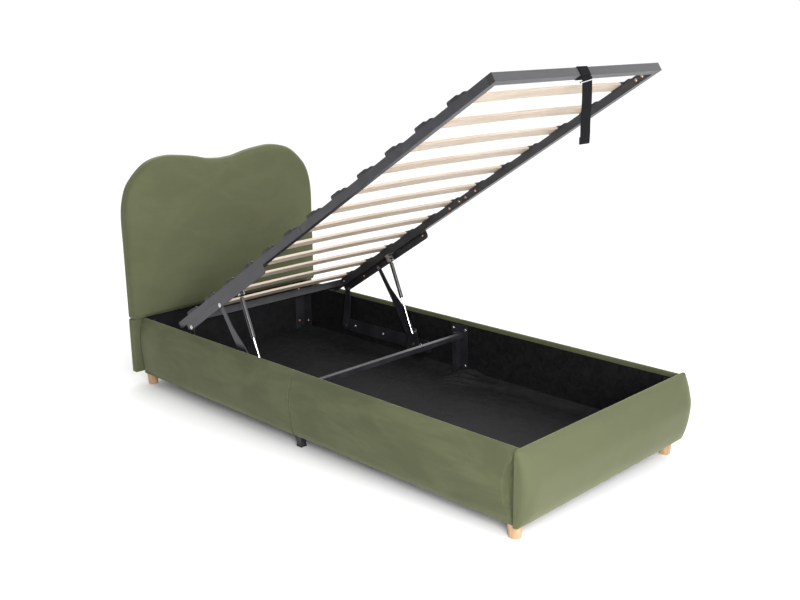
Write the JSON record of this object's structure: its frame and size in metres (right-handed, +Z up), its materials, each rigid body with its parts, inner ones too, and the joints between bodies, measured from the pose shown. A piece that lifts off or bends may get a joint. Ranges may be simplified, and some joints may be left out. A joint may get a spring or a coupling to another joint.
{
  "type": "ottoman bed",
  "caption": "Green velvet single bed with a double-crested headboard and a slatted frame that lifts on gas struts over a storage base",
  "frame": {"origin": "on the floor, in the middle of the bed's bounding box", "axes": "X across the bed, to the right seen from the foot end; Y from the foot end to the headboard; Z up"},
  "size_m": [1.03, 2.1852, 1.4041],
  "materials": {
    "velvet": "olive green velvet, short pile",
    "lining": "black non-woven fabric, faint crinkle",
    "board": "raw particle board",
    "frame_steel": "charcoal powder coat, satin",
    "slat_wood": "pale birch ply, clear satin",
    "foot_wood": "pale varnished wood, satin",
    "plastic": "black moulded plastic",
    "copper_bolts": "copper-coloured plating",
    "zinc": "bright zinc plating",
    "screws": "zinc plating",
    "strut_black": "gloss black",
    "rod_chrome": "polished",
    "webbing": "black woven webbing",
    "ring_wire": "polished wire"
  },
  "bodies": {
    "base": {"headboard_pad": "velvet", "headboard_base": "velvet", "side_rail_left_foot": "velvet", "side_rail_left_head": "velvet", "side_rail_right_foot": "velvet", "side_rail_right_head": "velvet", "rail_boards": "board", "footboard": "velvet", "footboard_board": "board", "inner_linings": "lining", "floor_panel_foot": "lining", "floor_panel_head": "lining", "foot_headboard_left": "foot_wood", "foot_headboard_right": "foot_wood", "foot_footboard_left": "foot_wood", "foot_footboard_right": "foot_wood", "centre_legs": "frame_steel", "centre_leg_caps": "plastic", "centre_cross_tube": "frame_steel", "corner_plates": "frame_steel", "mid_plates": "frame_steel", "base_bolts": "copper_bolts", "base_bar_left": "frame_steel", "base_bar_right": "frame_steel", "front_foot_pins": "zinc"},
    "front_arms": {"front_arm_left": "frame_steel", "front_arm_right": "frame_steel"},
    "lift_frame": {"side_tube_left_head": "frame_steel", "side_tube_left_foot": "frame_steel", "side_tube_right_head": "frame_steel", "side_tube_right_foot": "frame_steel", "splice_sleeves": "frame_steel", "foot_end_tube": "frame_steel", "head_end_tube": "frame_steel", "tube_end_caps": "plastic", "slat_01": "slat_wood", "slat_02": "slat_wood", "slat_03": "slat_wood", "slat_04": "slat_wood", "slat_05": "slat_wood", "slat_06": "slat_wood", "slat_07": "slat_wood", "slat_08": "slat_wood", "slat_09": "slat_wood", "slat_10": "slat_wood", "slat_11": "slat_wood", "slat_12": "slat_wood", "slat_holders": "plastic", "holder_screws": "screws", "upper_rail_left": "frame_steel", "upper_rail_right": "frame_steel", "link_pins": "zinc", "frame_bolts": "copper_bolts", "strut_brackets": "zinc"},
    "rear_arms": {"rear_arm_left": "frame_steel", "rear_arm_right": "frame_steel"},
    "strut_cylinders_body": {"strut_cylinders": "strut_black"},
    "strut_rods_body": {"strut_rods": "rod_chrome"},
    "pull_strap": {"strap_webbing": "webbing", "strap_ring": "ring_wire"}
  },
  "joints": [
    {"name": "front_arm_swing", "type": "hinge", "parent": "base", "child": "front_arms", "pos_m": [0, 0.2675, 0.148], "axis": [1, 0, 0], "range_deg": [-41.96, 0.4]},
    {"name": "lift", "type": "hinge", "parent": "front_arms", "child": "lift_frame", "pos_m": [0, 0.49413, 0.46379], "axis": [1, 0, 0], "range_deg": [0, 73.87]},
    {"name": "rear_arm_swing", "type": "hinge", "parent": "lift_frame", "child": "rear_arms", "pos_m": [0, 0.70712, 0.3291], "axis": [1, 0, 0], "range_deg": [-101.62, 0.4]},
    {"name": "strut_swing", "type": "hinge", "parent": "lift_frame", "child": "strut_cylinders_body", "pos_m": [0, 0.39289, 0.52072], "axis": [1, 0, 0], "range_deg": [-95.68, 0.4]},
    {"name": "strut_stroke", "type": "slide", "parent": "strut_cylinders_body", "child": "strut_rods_body", "axis": [0, 0.3873, 0.9219], "range_m": [-0.0002, 0.06958]},
    {"name": "strap_swing", "type": "hinge", "parent": "lift_frame", "child": "pull_strap", "pos_m": [0, -0.88696, 1.381], "axis": [1, 0, 0], "range_deg": [-5, 25]}
  ],
  "couplings": [
    {"joint": "front_arm_swing", "follows": "lift", "ratio": -0.56264},
    {"joint": "rear_arm_swing", "follows": "lift", "ratio": -1.3703},
    {"joint": "strut_swing", "follows": "lift", "ratio": -1.2899},
    {"joint": "strut_stroke", "follows": "lift", "m_per_rad": 0.053809}
  ]
}
